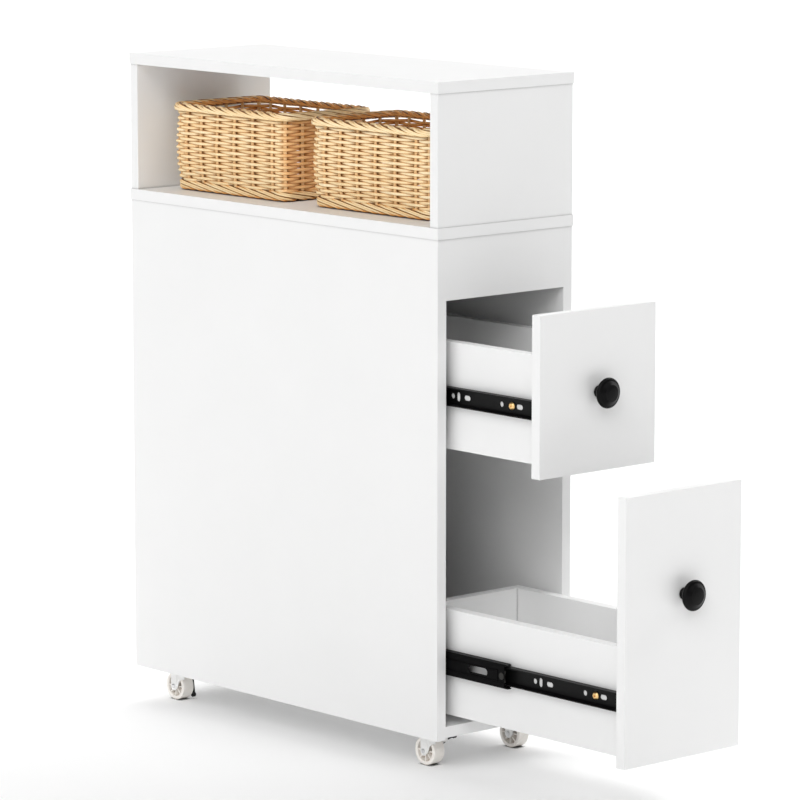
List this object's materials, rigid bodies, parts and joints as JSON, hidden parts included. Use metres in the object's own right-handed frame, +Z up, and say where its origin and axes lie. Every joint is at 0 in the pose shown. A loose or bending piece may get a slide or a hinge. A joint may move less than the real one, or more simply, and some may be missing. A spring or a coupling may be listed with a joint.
{
  "type": "slim rolling bathroom cabinet",
  "caption": "Slim white rolling bathroom cabinet: pull-out drawers with black knobs on ball-bearing slides, an open shelf holding woven baskets, and swivel casters.",
  "frame": {"origin": "on the floor under the wheels, at the middle of the rest pose's bounding box in X and Y", "axes": "+X to the right seen from the drawer fronts, +Y towards the back, +Z up; the drawers pull out along -Y"},
  "size_m": [0.202, 0.8306, 0.7625],
  "materials": {
    "white_board": "smooth white satin melamine foil on particle board",
    "black_slide_steel": "black electro-coat, semi-gloss",
    "brass_screw": "yellow-passivated steel screw, brass look",
    "zinc": "bright zinc plate",
    "black_knob": "satin black",
    "white_caster_steel": "pale plated steel",
    "cream_nylon": "moulded cream nylon",
    "black_plastic": "moulded black plastic",
    "white_cap": "cam fitting under a white cap",
    "willow": "peeled willow rods, satin",
    "beech_dowel": "raw beech"
  },
  "bodies": {
    "cabinet": {"side_panel_left": "white_board", "side_panel_right": "white_board", "bottom_panel": "white_board", "back_panel": "white_board", "front_rail": "white_board", "shelf_panel": "white_board", "upright_front": "white_board", "upright_rear": "white_board", "top_panel": "white_board", "panel_dowels": "beech_dowel", "cam_locks": "zinc", "slide_outer_upper_left": "black_slide_steel", "slide_outer_upper_right": "black_slide_steel", "slide_outer_lower_left": "black_slide_steel", "slide_outer_lower_right": "black_slide_steel", "slide_outer_screws": "brass_screw", "caster_plates": "white_caster_steel", "caster_screws": "zinc"},
    "mid_upper_left": {"slide_mid_upper_left": "black_slide_steel"},
    "mid_upper_right": {"slide_mid_upper_right": "black_slide_steel"},
    "drawer_upper": {"drawer_front_upper": "white_board", "drawer_side_upper_left": "white_board", "drawer_side_upper_right": "white_board", "drawer_back_upper": "white_board", "drawer_bottom_upper": "white_board", "knob_upper": "black_knob", "knob_screw_upper": "zinc", "slide_inner_upper_left": "black_slide_steel", "slide_inner_upper_right": "black_slide_steel", "slide_screws_upper": "brass_screw", "drawer_cams_upper": "white_cap"},
    "mid_lower_left": {"slide_mid_lower_left": "black_slide_steel"},
    "mid_lower_right": {"slide_mid_lower_right": "black_slide_steel"},
    "drawer_lower": {"drawer_front_lower": "white_board", "drawer_side_lower_left": "white_board", "drawer_side_lower_right": "white_board", "drawer_back_lower": "white_board", "drawer_bottom_lower": "white_board", "knob_lower": "black_knob", "knob_screw_lower": "zinc", "slide_inner_lower_left": "black_slide_steel", "slide_inner_lower_right": "black_slide_steel", "slide_screws_lower": "brass_screw", "drawer_cams_lower": "white_cap"},
    "caster_front_left": {"caster_fork_front_left": "white_caster_steel", "caster_axle_front_left": "zinc"},
    "wheel_front_left": {"caster_wheel_front_left": "cream_nylon"},
    "caster_front_right": {"caster_fork_front_right": "white_caster_steel", "caster_axle_front_right": "zinc"},
    "wheel_front_right": {"caster_wheel_front_right": "cream_nylon"},
    "caster_rear_left": {"caster_fork_rear_left": "white_caster_steel", "caster_axle_rear_left": "zinc"},
    "wheel_rear_left": {"caster_wheel_rear_left": "cream_nylon"},
    "caster_rear_right": {"caster_fork_rear_right": "white_caster_steel", "caster_axle_rear_right": "zinc"},
    "wheel_rear_right": {"caster_wheel_rear_right": "cream_nylon"},
    "brake_front_left": {"brake_lever_front_left": "black_plastic"},
    "brake_rear_left": {"brake_lever_rear_left": "black_plastic"},
    "basket_front_body": {"basket_front": "willow"},
    "basket_rear_body": {"basket_rear": "willow"}
  },
  "joints": [
    {"name": "mid_upper_left_slide", "type": "slide", "parent": "cabinet", "child": "mid_upper_left", "axis": [0, -1, 0], "range_m": [0, 0.13]},
    {"name": "mid_upper_right_slide", "type": "slide", "parent": "cabinet", "child": "mid_upper_right", "axis": [0, -1, 0], "range_m": [0, 0.13]},
    {"name": "drawer_upper_slide", "type": "slide", "parent": "mid_upper_left", "child": "drawer_upper", "axis": [0, -1, 0], "range_m": [-0.146, 0.024]},
    {"name": "mid_lower_left_slide", "type": "slide", "parent": "cabinet", "child": "mid_lower_left", "axis": [0, -1, 0], "range_m": [-0.111, 0.019]},
    {"name": "mid_lower_right_slide", "type": "slide", "parent": "cabinet", "child": "mid_lower_right", "axis": [0, -1, 0], "range_m": [-0.111, 0.019]},
    {"name": "drawer_lower_slide", "type": "slide", "parent": "mid_lower_left", "child": "drawer_lower", "axis": [0, -1, 0], "range_m": [-0.1665, 0.0035]},
    {"name": "swivel_front_left", "type": "hinge", "parent": "cabinet", "child": "caster_front_left", "pos_m": [-0.064, -0.07105, 0.01625], "axis": [0, 0, 1], "continuous": true},
    {"name": "spin_front_left", "type": "hinge", "parent": "caster_front_left", "child": "wheel_front_left", "pos_m": [-0.064, -0.06405, 0.01625], "axis": [1, 0, 0], "continuous": true},
    {"name": "swivel_front_right", "type": "hinge", "parent": "cabinet", "child": "caster_front_right", "pos_m": [0.064, -0.07105, 0.01625], "axis": [0, 0, 1], "continuous": true},
    {"name": "spin_front_right", "type": "hinge", "parent": "caster_front_right", "child": "wheel_front_right", "pos_m": [0.064, -0.06405, 0.01625], "axis": [1, 0, 0], "continuous": true},
    {"name": "swivel_rear_left", "type": "hinge", "parent": "cabinet", "child": "caster_rear_left", "pos_m": [-0.064, 0.36955, 0.01625], "axis": [0, 0, 1], "continuous": true},
    {"name": "spin_rear_left", "type": "hinge", "parent": "caster_rear_left", "child": "wheel_rear_left", "pos_m": [-0.064, 0.37655, 0.01625], "axis": [1, 0, 0], "continuous": true},
    {"name": "swivel_rear_right", "type": "hinge", "parent": "cabinet", "child": "caster_rear_right", "pos_m": [0.064, 0.36955, 0.01625], "axis": [0, 0, 1], "continuous": true},
    {"name": "spin_rear_right", "type": "hinge", "parent": "caster_rear_right", "child": "wheel_rear_right", "pos_m": [0.064, 0.37655, 0.01625], "axis": [1, 0, 0], "continuous": true},
    {"name": "brake_front_left_press", "type": "hinge", "parent": "caster_front_left", "child": "brake_front_left", "pos_m": [-0.064, -0.07205, 0.02575], "axis": [1, 0, 0], "range_deg": [0, 108.9]},
    {"name": "brake_rear_left_press", "type": "hinge", "parent": "caster_rear_left", "child": "brake_rear_left", "pos_m": [-0.064, 0.36855, 0.02575], "axis": [1, 0, 0], "range_deg": [-108.9, 0]},
    {"name": "basket_front_out", "type": "slide", "parent": "cabinet", "child": "basket_front_body", "axis": [-1, 0, 0], "range_m": [-0.095, 0.095]},
    {"name": "basket_rear_out", "type": "slide", "parent": "cabinet", "child": "basket_rear_body", "axis": [-1, 0, 0], "range_m": [-0.095, 0.095]}
  ],
  "couplings": [
    {"joint": "mid_upper_right_slide", "follows": "mid_upper_left_slide", "ratio": 1},
    {"joint": "mid_lower_right_slide", "follows": "mid_lower_left_slide", "ratio": 1}
  ]
}
